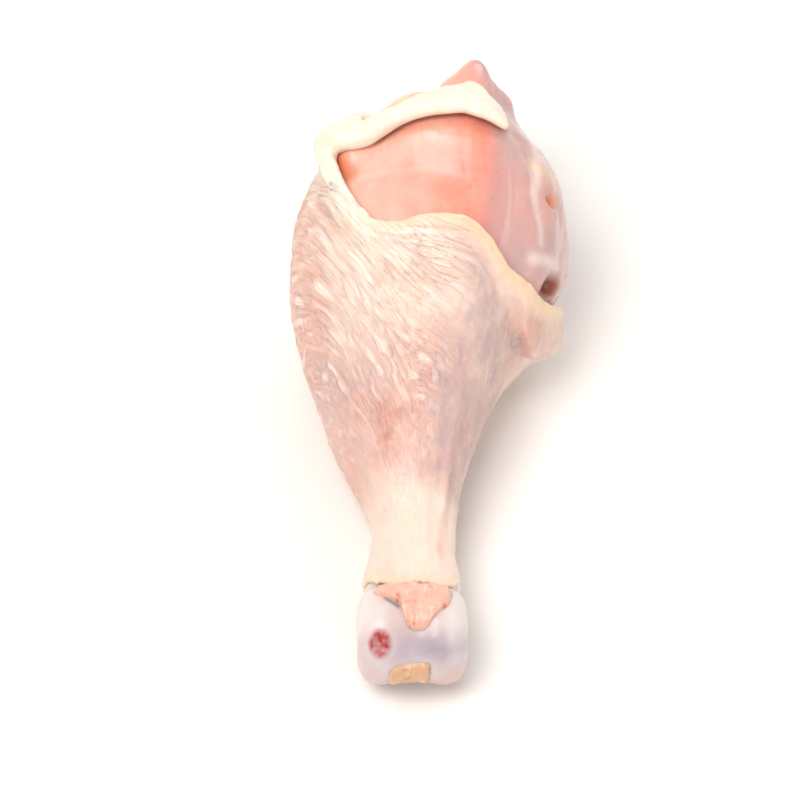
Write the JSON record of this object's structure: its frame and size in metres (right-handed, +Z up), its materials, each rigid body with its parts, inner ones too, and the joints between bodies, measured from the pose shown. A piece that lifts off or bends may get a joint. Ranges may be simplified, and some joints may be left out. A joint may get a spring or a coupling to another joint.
{
  "type": "raw chicken drumstick",
  "caption": "Raw chicken drumstick lying on its side: a pear of pink meat in a loose sleeve of pale skin with an oblique mouth, a strap of skin across it and a bare cartilage knuckle.",
  "frame": {"origin": "centre of the bounding box, at its bottom, which is the surface the drumstick lies on", "axes": "+Y along the leg from the ankle knuckle to the knee end, +Z up, +X to the right as seen from the ankle"},
  "size_m": [0.0538, 0.1343, 0.0474],
  "materials": {
    "cartilage": "wet pale lavender cartilage",
    "tendon": "wet peach tendon tissue",
    "fat": "moist tan fat",
    "meat": "wet pale pink raw meat under clear fascia",
    "skin": "moist pale cream-pink wrinkled poultry skin"
  },
  "bodies": {
    "root": {"bone": "cartilage", "ankle_tendon": "tendon", "sole_pad": "fat", "meat": "meat", "skin": "skin"}
  },
  "joints": []
}
